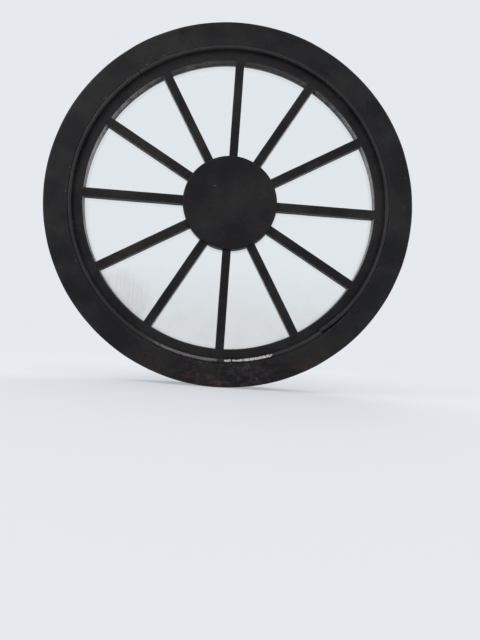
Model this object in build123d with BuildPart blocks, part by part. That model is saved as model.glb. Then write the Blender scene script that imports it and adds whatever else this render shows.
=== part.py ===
from build123d import *
from math import asin, cos, degrees, radians, sin
import os

os.makedirs("parts", exist_ok=True)

# A fixed round window of painted timber.
# X runs to the right and Z up as seen from indoors, and Y runs through the wall to outdoors.
# The origin is on the axis of the wheel, half way through the depth of the whole window.
# Depths are measured from the indoor face of the sash, and are positive towards outdoors.

# The glazed opening, from which everything outside it is set out.
sight_radius = 350.0

# Frame (jamb): a ring of six curved lengths with a stop lip on its outdoor side.
jamb_width = 57.0
jamb_depth = 90.0
lip_height = 16.0
lip_land = 8.0
splay_rise = 22.0
segment_count = 6
jamb_joint_angle = 45.0

# Loose tongue in each joint of the frame.
tongue_width = 24.0
tongue_thickness = 9.0
tongue_reach = 20.0
tongue_clearance = 0.1
tongue_end_space = 1.0

# Sash: a rim of six curved lengths, twelve bars and a turned hub.
rim_width = 32.4
sash_recess = 8.0
sash_thickness = 42.0
sash_clearance = 0.6
rebate_width = 8.0
glass_setback = 21.0
rim_joint_angle = 15.0
sash_arris = 2.0

# Loose tongue in each joint of the rim.
rim_tongue_width = 14.0
rim_tongue_thickness = 9.0
rim_tongue_reach = 18.0

# Hub: one turned block that stands proud of the bars indoors.
hub_radius = 113.0
hub_proud = 7.0
hub_arris = 3.0

# Glazing bars, each with a stub tenon in the rim and in the hub.
bar_count = 12
bar_width = 21.0
web_width = 7.0
tenon_shoulder = 6.0
tenon_height = 28.0
rim_tenon_reach = 22.0
hub_tenon_reach = 22.0
mortise_clearance = 0.15
mortise_end_space = 1.0

# Panes, the putty behind them, and the sprigs under the putty.
glass_thickness = 4.0
glass_gap = 1.5
putty_cover = 1.0
putty_lip = 1.5
putty_setback = 1.0
sprig_width = 2.0
sprig_thickness = 1.2
sprig_drive = 6.0
sprig_lap = 6.0
sprig_spread = 8.0

# Half round stop bead in two bent lengths, and the brads that fix it.
bead_width = 10.0
bead_depth = 11.0
bead_clearance = 0.1
bead_joint_angle = -51.0
bead_joint_gap = 1.5
sprung_arc = 20.0
sprung_lift = 5.0
brad_width = 1.8
brad_thickness = 1.2
brad_head_width = 3.2
brad_head_thickness = 1.8
brad_head_depth = 0.8
brad_grip = 14.0
brad_depth = 4.0
brad_count = 7
brad_end_margin = 8.0

# Places that follow from the sizes above.
overall_depth = bead_depth - sash_recess + jamb_depth
sash_face = bead_depth - overall_depth / 2
rim_radius = sight_radius + rim_width
housing_radius = rim_radius + sash_clearance
outer_radius = housing_radius + jamb_width
rim_rebate_radius = sight_radius + rebate_width
hub_rebate_radius = hub_radius - rebate_width
lip_radius = housing_radius - lip_height
segment_arc = 360 / segment_count
bar_pitch = 360 / bar_count
tongue_radius = (housing_radius + outer_radius) / 2
tongue_depth = jamb_depth / 2 - sash_recess
rim_tongue_radius = (rim_rebate_radius + rim_radius) / 2
rim_tongue_depth = sash_thickness / 2
glass_back = glass_setback + glass_thickness
putty_top = sash_thickness - putty_setback
sprig_depth = glass_back + sprig_thickness / 2
bead_outer_radius = housing_radius - bead_clearance
bead_inner_radius = bead_outer_radius - bead_width
window_axis = Axis((0, 0, 0), (0, -1, 0))


def face_plane(depth, angle=0.0):
    """Plane parallel to the window at a depth, with its x axis along the radius at an angle."""
    turn = radians(angle)
    return Plane(origin=(0, sash_face + depth, 0), x_dir=(cos(turn), 0, sin(turn)), z_dir=(0, -1, 0))


def section_plane(angle):
    """Plane through the axis of the wheel: local x is the radius and local y is Y."""
    turn = radians(angle)
    return Plane(origin=(0, 0, 0), x_dir=(cos(turn), 0, sin(turn)), z_dir=(-sin(turn), 0, cos(turn)))


def radial_plane(angle, radius, depth):
    """Plane square to the radius at an angle, facing outwards, with its x axis along Y."""
    turn = radians(angle)
    spot = (radius * cos(turn), sash_face + depth, radius * sin(turn))
    return Plane(origin=spot, x_dir=(0, 1, 0), z_dir=(cos(turn), 0, sin(turn)))


def sector_outline(inner, outer, side):
    """Sector between two radii, with straight sides kept a distance from both bars' centre lines."""
    inner_turn = radians(bar_pitch / 2) - asin(side / inner)
    outer_turn = radians(bar_pitch / 2) - asin(side / outer)
    inner_low = (inner * cos(inner_turn), -inner * sin(inner_turn))
    inner_high = (inner * cos(inner_turn), inner * sin(inner_turn))
    outer_low = (outer * cos(outer_turn), -outer * sin(outer_turn))
    outer_high = (outer * cos(outer_turn), outer * sin(outer_turn))
    with BuildLine() as outline:
        Line(inner_low, outer_low)
        ThreePointArc(outer_low, (outer, 0), outer_high)
        Line(outer_high, inner_high)
        ThreePointArc(inner_high, (inner, 0), inner_low)
    return outline.edges()


def bead_section():
    """Half round bead: square where it meets the sash and the frame, round towards the room."""
    nose = bead_width / 2
    spring_line = sash_face - bead_depth + nose
    with BuildLine() as outline:
        Polyline(
            (bead_inner_radius, spring_line),
            (bead_inner_radius, sash_face),
            (bead_outer_radius, sash_face),
            (bead_outer_radius, spring_line),
        )
        ThreePointArc(
            (bead_outer_radius, spring_line),
            (bead_outer_radius - nose, spring_line - nose),
            (bead_inner_radius, spring_line),
        )
    return outline.edges()


def write(part, name):
    """Label a finished piece and write it as its own STEP file."""
    part.label = name
    export_step(part, f"parts/{name}.step")


sprig_angles = []
for pane in range(bar_count):
    pane_angle = (pane + 0.5) * bar_pitch
    sprig_angles += [pane_angle - sprig_spread, pane_angle + sprig_spread]

upper_start = bead_joint_angle + sprung_arc
upper_end = bead_joint_angle + 180
lower_start = upper_end
lower_end = bead_joint_angle + 360
joint_turn = degrees(bead_joint_gap / bead_outer_radius)


def brad_places(start, end):
    """Evenly spaced angles along a length of bead, clear of its ends."""
    first = start + brad_end_margin
    step = (end - start - 2 * brad_end_margin) / (brad_count - 1)
    return [first + step * place for place in range(brad_count)]


brad_angles = brad_places(upper_start, upper_end) + brad_places(lower_start, lower_end)


# One length of the frame: an L section with a splayed stop lip, slotted at both ends for
# the tongues.
indoor = sash_face - sash_recess
outdoor = indoor + jamb_depth
lip_face = sash_face + sash_thickness
with BuildPart() as jamb_blank:
    with BuildSketch(section_plane(0)):
        with BuildLine():
            Polyline(
                (housing_radius, indoor),
                (outer_radius, indoor),
                (outer_radius, outdoor),
                (lip_radius + splay_rise, outdoor),
                (lip_radius, lip_face + lip_land),
                (lip_radius, lip_face),
                (housing_radius, lip_face),
                close=True,
            )
        make_face()
    revolve(axis=window_axis, revolution_arc=segment_arc)
    with BuildSketch(section_plane(0), section_plane(segment_arc)):
        with Locations((tongue_radius, sash_face + tongue_depth)):
            Rectangle(tongue_width + 2 * tongue_clearance, tongue_thickness + 2 * tongue_clearance)
    extrude(amount=tongue_reach + tongue_end_space, both=True, mode=Mode.SUBTRACT)

# The six lengths round the ring, each pierced where the brads of the bead go in.
for number in range(segment_count):
    start = jamb_joint_angle + number * segment_arc
    with BuildPart() as jamb:
        add(jamb_blank.part, rotation=(0, -start, 0))
        for angle in brad_angles:
            if (angle - start) % 360 < segment_arc:
                with BuildSketch(radial_plane(angle, housing_radius, -brad_depth)):
                    Rectangle(brad_width, brad_thickness)
                extrude(amount=brad_grip, mode=Mode.SUBTRACT)
    write(jamb.part, f"jamb_segment_{number + 1}")

# Loose tongues, one across each joint of the frame.
with BuildPart() as tongues:
    for number in range(segment_count):
        with BuildSketch(section_plane(jamb_joint_angle + number * segment_arc)):
            with Locations((tongue_radius, sash_face + tongue_depth)):
                Rectangle(tongue_width, tongue_thickness)
        extrude(amount=tongue_reach, both=True)
write(tongues.part, "jamb_tongues")

# One length of the rim: a rebated section, slotted at both ends for tongues, with a mortise
# for each bar and a slit for each sprig.
mortise_start = sight_radius - bar_width
mortise_end = sight_radius + rim_tenon_reach + mortise_end_space
with BuildPart() as rim_blank:
    with BuildSketch(section_plane(0)) as rim_profile:
        with BuildLine():
            Polyline(
                (sight_radius, sash_face),
                (rim_radius, sash_face),
                (rim_radius, sash_face + sash_thickness),
                (rim_rebate_radius, sash_face + sash_thickness),
                (rim_rebate_radius, sash_face + glass_setback),
                (sight_radius, sash_face + glass_setback),
                close=True,
            )
        make_face()
        fillet(rim_profile.vertices().group_by(Axis.X)[0].sort_by(Axis.Y)[0], sash_arris)
    revolve(axis=window_axis, revolution_arc=segment_arc)
    with BuildSketch(section_plane(0), section_plane(segment_arc)):
        with Locations((rim_tongue_radius, sash_face + rim_tongue_depth)):
            Rectangle(rim_tongue_width + 2 * tongue_clearance, rim_tongue_thickness + 2 * tongue_clearance)
    extrude(amount=rim_tongue_reach + tongue_end_space, both=True, mode=Mode.SUBTRACT)
    for bar_number in range(bar_count):
        angle = bar_number * bar_pitch - rim_joint_angle
        if angle % 360 < segment_arc:
            with BuildSketch(face_plane(tenon_shoulder - mortise_clearance, angle)):
                with Locations(((mortise_start + mortise_end) / 2, 0)):
                    Rectangle(mortise_end - mortise_start, web_width + 2 * mortise_clearance)
            extrude(amount=-tenon_height - 2 * mortise_clearance, mode=Mode.SUBTRACT)
    for sprig_angle in sprig_angles:
        angle = sprig_angle - rim_joint_angle
        if angle % 360 < segment_arc:
            with BuildSketch(radial_plane(angle, rim_rebate_radius, sprig_depth)):
                Rectangle(sprig_thickness, sprig_width)
            extrude(amount=sprig_drive, mode=Mode.SUBTRACT)

# The six lengths round the rim.
for number in range(segment_count):
    with BuildPart() as rim:
        add(rim_blank.part, rotation=(0, -rim_joint_angle - number * segment_arc, 0))
    write(rim.part, f"rim_segment_{number + 1}")

# Loose tongues, one across each joint of the rim.
with BuildPart() as rim_tongues:
    for number in range(segment_count):
        with BuildSketch(section_plane(rim_joint_angle + number * segment_arc)):
            with Locations((rim_tongue_radius, sash_face + rim_tongue_depth)):
                Rectangle(rim_tongue_width, rim_tongue_thickness)
        extrude(amount=rim_tongue_reach, both=True)
write(rim_tongues.part, "rim_tongues")

# Hub: turned, rebated behind for the panes, with a mortise for each bar.
with BuildPart() as hub:
    with BuildSketch(section_plane(0)) as hub_profile:
        with BuildLine():
            Polyline(
                (0, sash_face - hub_proud),
                (hub_radius, sash_face - hub_proud),
                (hub_radius, sash_face + glass_setback),
                (hub_rebate_radius, sash_face + glass_setback),
                (hub_rebate_radius, sash_face + sash_thickness),
                (0, sash_face + sash_thickness),
                close=True,
            )
        make_face()
        fillet(hub_profile.vertices().group_by(Axis.X)[-1].sort_by(Axis.Y)[0], hub_arris)
    revolve(axis=window_axis)
    hub_mortise_end = hub_radius - hub_tenon_reach - mortise_end_space
    for bar_number in range(bar_count):
        with BuildSketch(face_plane(tenon_shoulder - mortise_clearance, bar_number * bar_pitch)):
            with Locations(((hub_mortise_end + hub_radius + bar_width) / 2, 0)):
                Rectangle(hub_radius + bar_width - hub_mortise_end, web_width + 2 * mortise_clearance)
        extrude(amount=-tenon_height - 2 * mortise_clearance, mode=Mode.SUBTRACT)
write(hub.part, "hub")

# One glazing bar: a wide front with rounded arrises, a thin web between the panes, and a stub
# tenon at each end. The shoulders are scribed to the hub and to the rim.
tenon_start = hub_radius - hub_tenon_reach
tenon_end = sight_radius + rim_tenon_reach
with BuildPart() as bar_blank:
    with BuildSketch(face_plane(0)):
        with Locations((sight_radius / 2, 0)):
            Rectangle(sight_radius, bar_width)
        Circle(sight_radius, mode=Mode.INTERSECT)
        Circle(hub_radius, mode=Mode.SUBTRACT)
    extrude(amount=-glass_setback)
    fillet(bar_blank.faces().sort_by(Axis.Y)[0].edges().filter_by(GeomType.LINE), sash_arris)
    with BuildSketch(face_plane(glass_setback)):
        with Locations((rim_rebate_radius / 2, 0)):
            Rectangle(rim_rebate_radius, web_width)
        Circle(rim_rebate_radius, mode=Mode.INTERSECT)
        Circle(hub_rebate_radius, mode=Mode.SUBTRACT)
    extrude(amount=glass_setback - sash_thickness)
    with BuildSketch(face_plane(tenon_shoulder)):
        with Locations(((tenon_start + tenon_end) / 2, 0)):
            Rectangle(tenon_end - tenon_start, web_width)
    extrude(amount=-tenon_height)

# The bars round the wheel.
for number in range(bar_count):
    with BuildPart() as bar:
        add(bar_blank.part, rotation=(0, -number * bar_pitch, 0))
    write(bar.part, f"bar_{number + 1:02d}")

# One pane: a flat sector of glass that lies on the shoulders of the rim, the bars and the hub.
with BuildPart() as pane_blank:
    with BuildSketch(face_plane(glass_setback)):
        make_face(sector_outline(
            hub_rebate_radius + glass_gap,
            rim_rebate_radius - glass_gap,
            web_width / 2 + glass_gap,
        ))
    extrude(amount=-glass_thickness)

# One putty fillet: wide on the glass and thin at its outer edge, with a slit where each sprig
# lies.
with BuildPart() as putty_blank:
    with BuildSketch(face_plane(glass_back)):
        make_face(sector_outline(hub_rebate_radius, rim_rebate_radius, web_width / 2))
    extrude(amount=glass_back - putty_top)
    with BuildSketch(face_plane(glass_back)):
        make_face(sector_outline(
            hub_radius - putty_cover,
            sight_radius + putty_cover,
            bar_width / 2 - putty_cover,
        ))
    with BuildSketch(face_plane(putty_top)):
        make_face(sector_outline(
            hub_rebate_radius + putty_lip,
            rim_rebate_radius - putty_lip,
            web_width / 2 + putty_lip,
        ))
    loft(ruled=True, mode=Mode.SUBTRACT)
    for side in (-sprig_spread, sprig_spread):
        with BuildSketch(radial_plane(side, rim_rebate_radius, sprig_depth)):
            Rectangle(sprig_thickness, sprig_width)
        extrude(amount=-sprig_lap, mode=Mode.SUBTRACT)

# A pane and its putty in each space between two bars.
for number in range(bar_count):
    angle = (number + 0.5) * bar_pitch
    with BuildPart() as pane:
        add(pane_blank.part, rotation=(0, -angle, 0))
    write(pane.part, f"pane_{number + 1:02d}")
    with BuildPart() as putty:
        add(putty_blank.part, rotation=(0, -angle, 0))
    write(putty.part, f"putty_{number + 1:02d}")

# Sprigs: small flat pins driven into the rim, lying on the glass under the putty.
with BuildPart() as sprigs:
    for angle in sprig_angles:
        with BuildSketch(radial_plane(angle, rim_rebate_radius - sprig_lap, sprig_depth)):
            Rectangle(sprig_thickness, sprig_width)
        extrude(amount=sprig_lap + sprig_drive)
write(sprigs.part, "glazing_sprigs")

# Upper length of the stop bead. Its lower end has sprung away from the frame, so the last
# stretch bends on a smaller radius, tangent to the rest.
bead_mid_radius = bead_outer_radius - bead_width / 2
sprung_length = radians(sprung_arc) * bead_mid_radius
sprung_radius = 1 / (1 / bead_mid_radius + 2 * sprung_lift / sprung_length**2)
sprung_centre = bead_mid_radius - sprung_radius
sprung_turn = radians(upper_start)
sprung_axis = Axis(
    (sprung_centre * cos(sprung_turn), 0, sprung_centre * sin(sprung_turn)),
    (0, 1, 0),
)
with BuildPart() as upper_bead:
    with BuildSketch(section_plane(upper_start)):
        make_face(bead_section())
    revolve(axis=window_axis, revolution_arc=upper_end - upper_start - joint_turn)
    with BuildSketch(section_plane(upper_start)):
        make_face(bead_section())
    revolve(axis=sprung_axis, revolution_arc=degrees(sprung_length / sprung_radius))
    for angle in brad_places(upper_start, upper_end):
        with BuildSketch(radial_plane(angle, bead_inner_radius, -brad_depth)):
            Rectangle(brad_width, brad_thickness)
        extrude(amount=bead_width, mode=Mode.SUBTRACT)
        with BuildSketch(radial_plane(angle, bead_inner_radius, -brad_depth)):
            Rectangle(brad_head_width, brad_head_thickness)
        extrude(amount=brad_head_depth, mode=Mode.SUBTRACT)
write(upper_bead.part, "stop_bead_upper")

# Lower length of the stop bead, tight in the frame all the way.
with BuildPart() as lower_bead:
    with BuildSketch(section_plane(lower_start)):
        make_face(bead_section())
    revolve(axis=window_axis, revolution_arc=lower_end - lower_start - joint_turn)
    for angle in brad_places(lower_start, lower_end):
        with BuildSketch(radial_plane(angle, bead_inner_radius, -brad_depth)):
            Rectangle(brad_width, brad_thickness)
        extrude(amount=bead_width, mode=Mode.SUBTRACT)
        with BuildSketch(radial_plane(angle, bead_inner_radius, -brad_depth)):
            Rectangle(brad_head_width, brad_head_thickness)
        extrude(amount=brad_head_depth, mode=Mode.SUBTRACT)
write(lower_bead.part, "stop_bead_lower")

# Brads: each goes through the bead into the frame, with its head flush in the bead.
with BuildPart() as brads:
    for angle in brad_angles:
        with BuildSketch(radial_plane(angle, bead_inner_radius, -brad_depth)):
            Rectangle(brad_width, brad_thickness)
        extrude(amount=bead_width + bead_clearance + brad_grip)
        with BuildSketch(radial_plane(angle, bead_inner_radius, -brad_depth)):
            Rectangle(brad_head_width, brad_head_thickness)
        extrude(amount=brad_head_depth)
write(brads.part, "bead_brads")
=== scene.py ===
from math import cos, pi, radians, sin

import bmesh
import bpy
import numpy as np
from mathutils import Matrix, Vector
from mathutils.geometry import tessellate_polygon


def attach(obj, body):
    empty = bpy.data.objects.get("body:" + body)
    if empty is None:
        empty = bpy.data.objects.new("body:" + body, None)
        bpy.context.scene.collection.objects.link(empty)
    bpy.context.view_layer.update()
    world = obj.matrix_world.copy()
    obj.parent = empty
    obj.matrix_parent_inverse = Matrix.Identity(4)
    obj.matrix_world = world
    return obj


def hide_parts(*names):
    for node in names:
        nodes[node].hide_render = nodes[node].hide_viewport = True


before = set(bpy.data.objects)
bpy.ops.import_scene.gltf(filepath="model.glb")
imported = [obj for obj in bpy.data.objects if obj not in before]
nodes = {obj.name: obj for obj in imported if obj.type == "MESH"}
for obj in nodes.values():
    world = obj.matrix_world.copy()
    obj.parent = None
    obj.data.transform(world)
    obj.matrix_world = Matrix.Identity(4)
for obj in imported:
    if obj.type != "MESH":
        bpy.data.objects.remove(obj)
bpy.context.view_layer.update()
scene = bpy.context.scene
scene.view_settings.view_transform = "Standard"

# View: from indoors, a little below the window and close to it, looking slightly up.
# The camera is rolled, because the bars stand turned by this lean in the photograph.
camera_place = Vector((0.0057, -1.1735, -0.3260))
camera_yaw = radians(2.08)
camera_pitch = radians(2.26)
camera_lean = radians(4.06)
camera_lens = 27.0
camera = bpy.data.objects.new("camera", bpy.data.cameras.new("camera"))
camera.data.lens = camera_lens
camera.matrix_world = (
    Matrix.Translation(camera_place)
    @ Matrix.Rotation(-camera_lean, 4, "Y")
    @ Matrix.Rotation(-camera_yaw, 4, "Z")
    @ Matrix.Rotation(pi / 2 + camera_pitch, 4, "X")
)
scene.collection.objects.link(camera)
scene.camera = camera

# Studio: a pale floor that fades into a pale backdrop, and soft lamps on both sides of the
# window. The backdrop colour is what the camera, the gloss and the glass see.
backdrop_colour = (0.79, 0.82, 0.86, 1.0)
daylight_colour = (0.96, 0.98, 1.0, 1.0)
daylight_strength = 0.75
floor_colour = (0.83, 0.84, 0.86, 1.0)
floor_height = -0.4402
floor_radius = 14.0
floor_sides = 96
floor_fade = (0.45, 1.6)
floor_shade = 0.55


def node(kind, inputs=None, tree=None, **settings):
    """A new node with its settings and inputs, in the given tree or else in that of the first
    socket among its inputs. A socket is linked, and any other input is set."""
    inputs = inputs or {}
    sockets = [value for value in inputs.values() if isinstance(value, bpy.types.NodeSocket)]
    tree = tree or sockets[0].id_data
    made = tree.nodes.new(f"ShaderNode{kind}")
    for name, value in settings.items():
        setattr(made, name, value)
    for name, value in inputs.items():
        if isinstance(value, bpy.types.NodeSocket):
            tree.links.new(value, made.inputs[name])
        else:
            made.inputs[name].default_value = value
    return made


def maths(operation, *values, clamp=False):
    """The result of one Math node."""
    inputs = dict(enumerate(values))
    return node("Math", inputs, operation=operation, use_clamp=clamp).outputs[0]


def vector_maths(operation, *values):
    """The outputs of one Vector Math node: a vector first, then a single value."""
    return node("VectorMath", dict(enumerate(values)), operation=operation).outputs


def times(first, second):
    """First value times the second."""
    return maths("MULTIPLY", first, second)


def total(*values, clamp=False):
    """Sum of values, each of them times its weight where it is given as a pair."""
    terms = [times(*value) if isinstance(value, tuple) else value for value in values]
    result = terms[0]
    for term in terms[1:]:
        result = maths("ADD", result, term, clamp=clamp)
    return result


def ramp(value, low, high):
    """A value carried from the range low..high to 0..1, smoothly and held at both ends."""
    wanted = {"Value": value, "From Min": low, "From Max": high}
    return node("MapRange", wanted, interpolation_type="SMOOTHSTEP").outputs[0]


def object_place(tree):
    """Place on the object in metres, which is the place in the window."""
    return node("TexCoord", tree=tree).outputs["Object"]


def seen_rays(tree):
    """One for rays from the camera, off gloss and through glass, and nought for light rays."""
    path = node("LightPath", tree=tree).outputs
    seen = maths("MAXIMUM", path["Is Camera Ray"], path["Is Glossy Ray"])
    return maths("MAXIMUM", seen, path["Is Transmission Ray"])


def either(share, first, second):
    """First shader where the share is nought, second where it is one."""
    return node("MixShader", {0: share, 1: first.outputs[0], 2: second.outputs[0]}).outputs[0]


world = bpy.data.worlds.new("studio")
world.use_nodes = True
scene.world = world
tree = world.node_tree
tree.nodes.clear()
backdrop = node("Background", {"Color": backdrop_colour, "Strength": 1.0}, tree)
daylight = node("Background", {"Color": daylight_colour, "Strength": daylight_strength}, tree)
node("OutputWorld", {"Surface": either(seen_rays(tree), daylight, backdrop)})

floor_material = bpy.data.materials.new("floor")
floor_material.use_nodes = True
tree = floor_material.node_tree
tree.nodes.clear()
floor_reach = vector_maths("LENGTH", object_place(tree))["Value"]
fade = total(1.0 - floor_shade, (ramp(floor_reach, *floor_fade), floor_shade))
matt = node("BsdfDiffuse", {"Color": floor_colour}, tree)
far = node("Emission", {"Color": backdrop_colour, "Strength": 1.0}, tree)
node("OutputMaterial", {"Surface": either(times(fade, seen_rays(tree)), matt, far)})

floor_turns = np.linspace(0, 2 * pi, floor_sides, endpoint=False)
floor_edge = np.stack([np.cos(floor_turns), np.sin(floor_turns), np.zeros(floor_sides)], 1)
floor_points = floor_edge * floor_radius + (0, 0, floor_height)
floor_mesh = bpy.data.meshes.new("floor")
floor_mesh.from_pydata(floor_points.tolist(), [], [list(range(floor_sides))])
floor_mesh.materials.append(floor_material)
floor = bpy.data.objects.new("floor", floor_mesh)
scene.collection.objects.link(floor)


def soft_lamp(name, place, size, power, colour):
    """A square soft lamp that faces the middle of the window and isn't seen through the glass."""
    lamp = bpy.data.lights.new(name, "AREA")
    lamp.size = size
    lamp.energy = power
    lamp.color = colour
    holder = bpy.data.objects.new(name, lamp)
    holder.location = place
    holder.rotation_euler = (-Vector(place)).to_track_quat("-Z", "Y").to_euler()
    holder.visible_camera = False
    holder.visible_transmission = False
    scene.collection.objects.link(holder)


soft_lamp("key_lamp", (-2.3, -1.9, 1.9), size=1.8, power=36.0, colour=(1.0, 0.98, 0.95))
soft_lamp("fill_lamp", (2.6, -1.7, 0.4), size=1.8, power=14.0, colour=(0.95, 0.97, 1.0))
soft_lamp("outdoor_lamp", (0.6, 2.4, 1.9), size=2.2, power=30.0, colour=(0.93, 0.96, 1.0))

# Softwood under the paint and in the loose tongues: pale early wood and darker late wood in
# lines that run along the grain, with fine pores.
early_wood_colour = (0.42, 0.29, 0.17, 1)
late_wood_colour = (0.23, 0.13, 0.07, 1)


def group_tree(name, inputs, outputs):
    """An empty node group with named inputs, each with a kind and a value, and named outputs."""
    tree = bpy.data.node_groups.new(name, "ShaderNodeTree")
    for label, (kind, value) in inputs.items():
        socket = tree.interface.new_socket(label, in_out="INPUT", socket_type=f"NodeSocket{kind}")
        socket.default_value = value
    for label, kind in outputs.items():
        tree.interface.new_socket(label, in_out="OUTPUT", socket_type=f"NodeSocket{kind}")
    return tree, tree.nodes.new("NodeGroupInput").outputs, tree.nodes.new("NodeGroupOutput").inputs


def mixed(share, first, second):
    """First colour where the share is nought, second where it is one."""
    return node("Mix", {0: share, 6: first, 7: second}, data_type="RGBA").outputs[2]


def stretched(place, sizes):
    """A place divided by sizes in metres along its three directions, or by one size."""
    scales = tuple(1 / size for size in np.broadcast_to(sizes, 3))
    return vector_maths("MULTIPLY", place, scales)[0]


def noise(place, sizes, detail, roughness, distortion=0.0):
    """Noise from 0 to 1 with patches of the given sizes in metres."""
    wanted = {"Vector": stretched(place, sizes), "Scale": 1.0, "Detail": detail}
    wanted |= {"Roughness": roughness, "Distortion": distortion}
    return node("TexNoise", wanted).outputs[0]


def feed(sockets, **values):
    """Links each value to the socket of its name."""
    for name, value in values.items():
        value.id_data.links.new(value, sockets[name])


softwood, given, result = group_tree(
    "softwood",
    {
        "Grain": ("Vector", (0, 0, 0)),
        "Early Wood": ("Color", early_wood_colour),
        "Late Wood": ("Color", late_wood_colour),
    },
    {"Colour": "Color", "Height": "Float"},
)
ring_lines = noise(given["Grain"], (0.24, 0.0045, 0.0060), 2.0, 0.5, 0.3)
pores = noise(given["Grain"], (0.012, 0.0005, 0.0005), 2.0, 0.7)
late = total((ramp(ring_lines, 0.42, 0.62), 0.8), (pores, 0.25))
colour = mixed(late, given["Early Wood"], given["Late Wood"])
relief = total((ring_lines, 0.7), (pores, 0.3))
feed(result, Colour=colour, Height=relief)

# Old dark paint on timber, brushed on along the grain in several coats: uneven in colour,
# cracked along the grain, flaked at the arrises, bleached by daylight, dusty where it faces up,
# and spattered with pale lime and brown dust low down on the face of the frame. Painted shade
# keeps the bleached reveals darker where they face down, and a faint painted highlight runs
# along every arris.
paint_colour = (0.0055, 0.0060, 0.0085, 1)
brown_paint_colour = (0.0105, 0.0085, 0.0082, 1)
bleached_paint_colour = (0.410, 0.382, 0.372, 1)
grey_wood_colours = {"Early Wood": (0.20, 0.165, 0.135, 1), "Late Wood": (0.105, 0.085, 0.07, 1)}
thin_coat_colour = (0.042, 0.034, 0.030, 1)
crack_colour = (0.004, 0.004, 0.004, 1)
dust_colour = (0.17, 0.155, 0.14, 1)
brown_dust_colour = (0.085, 0.042, 0.030, 1)
lime_film_colour = (0.25, 0.24, 0.225, 1)
lime_speck_colour = (0.25, 0.235, 0.215, 1)
splash_middle = 0.020


def cells(place, sizes, feature):
    """Distance in a pattern of cells of the given sizes in metres."""
    wanted = {"Vector": stretched(place, sizes), "Scale": 1.0}
    return node("TexVoronoi", wanted, feature=feature).outputs["Distance"]


def parts(vector):
    """The x, y and z of a vector."""
    return node("SeparateXYZ", {0: vector}).outputs


def placed(group, values):
    """The outputs of a node group placed in a tree with its own values."""
    return node("Group", values, node_tree=group).outputs


old_paint, given, result = group_tree(
    "old_paint",
    {
        "Grain": ("Vector", (0, 0, 0)), "Arris": ("Float", 0.0), "Reveal": ("Float", 0.0),
        "Wear": ("Float", 1.0), "Spatter": ("Float", 0.0),
    },
    {"Colour": "Color", "Roughness": "Float", "Height": "Float"},
)
grain = given["Grain"]
place = object_place(old_paint)
along_x, along_y, along_z = parts(place)
facing_up = parts(node("NewGeometry", tree=old_paint).outputs["Normal"])[2]
strokes = noise(grain, (0.070, 0.0011, 0.0011), 3.0, 0.6)
blotches = noise(place, 0.11, 5.0, 0.62)
patches = noise(place, 0.024, 5.0, 0.6)
telegraphed = noise(grain, (0.30, 0.0050, 0.0070), 2.0, 0.5, 0.3)
outdoors = ramp(along_y, -0.012, 0.012)

wander = node("TexNoise", {"Vector": grain, "Scale": 60.0, "Detail": 2.0})
warped = vector_maths("MULTIPLY_ADD", wander.outputs[1], (0.006, 0.003, 0.003), grain)[0]
crack_edges = cells(warped, (0.030, 0.0052, 0.0052), "DISTANCE_TO_EDGE")
crack_width = total(0.015, (ramp(patches, 0.35, 0.65), 0.060))
from_crack = ramp(maths("DIVIDE", crack_edges, crack_width), 0.0, 1.0)
cracked = ramp(total(blotches, (outdoors, 0.13), (given["Arris"], 0.08)), 0.50, 0.66)
cracks = times(maths("SUBTRACT", 1.0, from_crack), cracked)

worn_arris = times(given["Arris"], given["Wear"])
flake_drive = total(
    noise(grain, (0.016, 0.0042, 0.0042), 6.0, 0.62), (worn_arris, 0.17),
    (given["Wear"], 0.04), (patches, 0.16), (outdoors, 0.05), (cracks, 0.05),
)
flaked = ramp(flake_drive, 0.815, 0.845)
thin = ramp(flake_drive, 0.71, 0.85)

dust_drifts = noise(place, 0.011, 6.0, 0.68)
settled = total(0.40, (ramp(dust_drifts, 0.36, 0.64), 0.60))
dusted = times(ramp(facing_up, 0.15, 0.85), settled)
film = times(ramp(blotches, 0.38, 0.68), total(0.35, (dust_drifts, 0.8)))
from_middle = maths("ABSOLUTE", total(along_x, -splash_middle))
splashed = times(ramp(from_middle, 0.150, 0.050), ramp(along_z, -0.33, -0.395))
splashed = times(splashed, given["Spatter"])
speck_edge = noise(place, 0.0016, 3.0, 0.7)
speck_cells = cells(place, (0.0058, 0.0058, 0.0044), "F1")
speck_chance = noise(place, (0.020, 0.020, 0.016), 4.0, 0.75)
speck_reach = total((ramp(speck_chance, 0.40, 0.68), 0.40), (speck_edge, 0.40), -0.22)
specks = ramp(total(speck_reach, (speck_cells, -1.0)), 0.0, 0.16)
specks = times(specks, splashed)
lime_film = times(splashed, ramp(speck_chance, 0.46, 0.70))
smears = ramp(noise(place, (0.055, 0.030, 0.018), 5.0, 0.65), 0.47, 0.68)
brown_dust = times(smears, ramp(along_z, -0.33, -0.43))
brown_dust = times(brown_dust, given["Spatter"])

bare_wood = placed(softwood, {"Grain": grain, **grey_wood_colours})
tone = total((ramp(blotches, 0.35, 0.68), 0.75), (strokes, 0.35))
# Painted shade: the bleached reveals are kept darker where they face down, as under light from the
# side.
underside_shade = ramp(facing_up, -0.30, -0.97)
streaks = noise(place, (0.012, 0.040, 0.012), 4.0, 0.6)
blown = ramp(patches, 0.32, 0.66)
bleach_less_underside_shade = total(0.20, (blown, 0.34), (streaks, 0.50), (strokes, 0.35), (underside_shade, -0.72))
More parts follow.
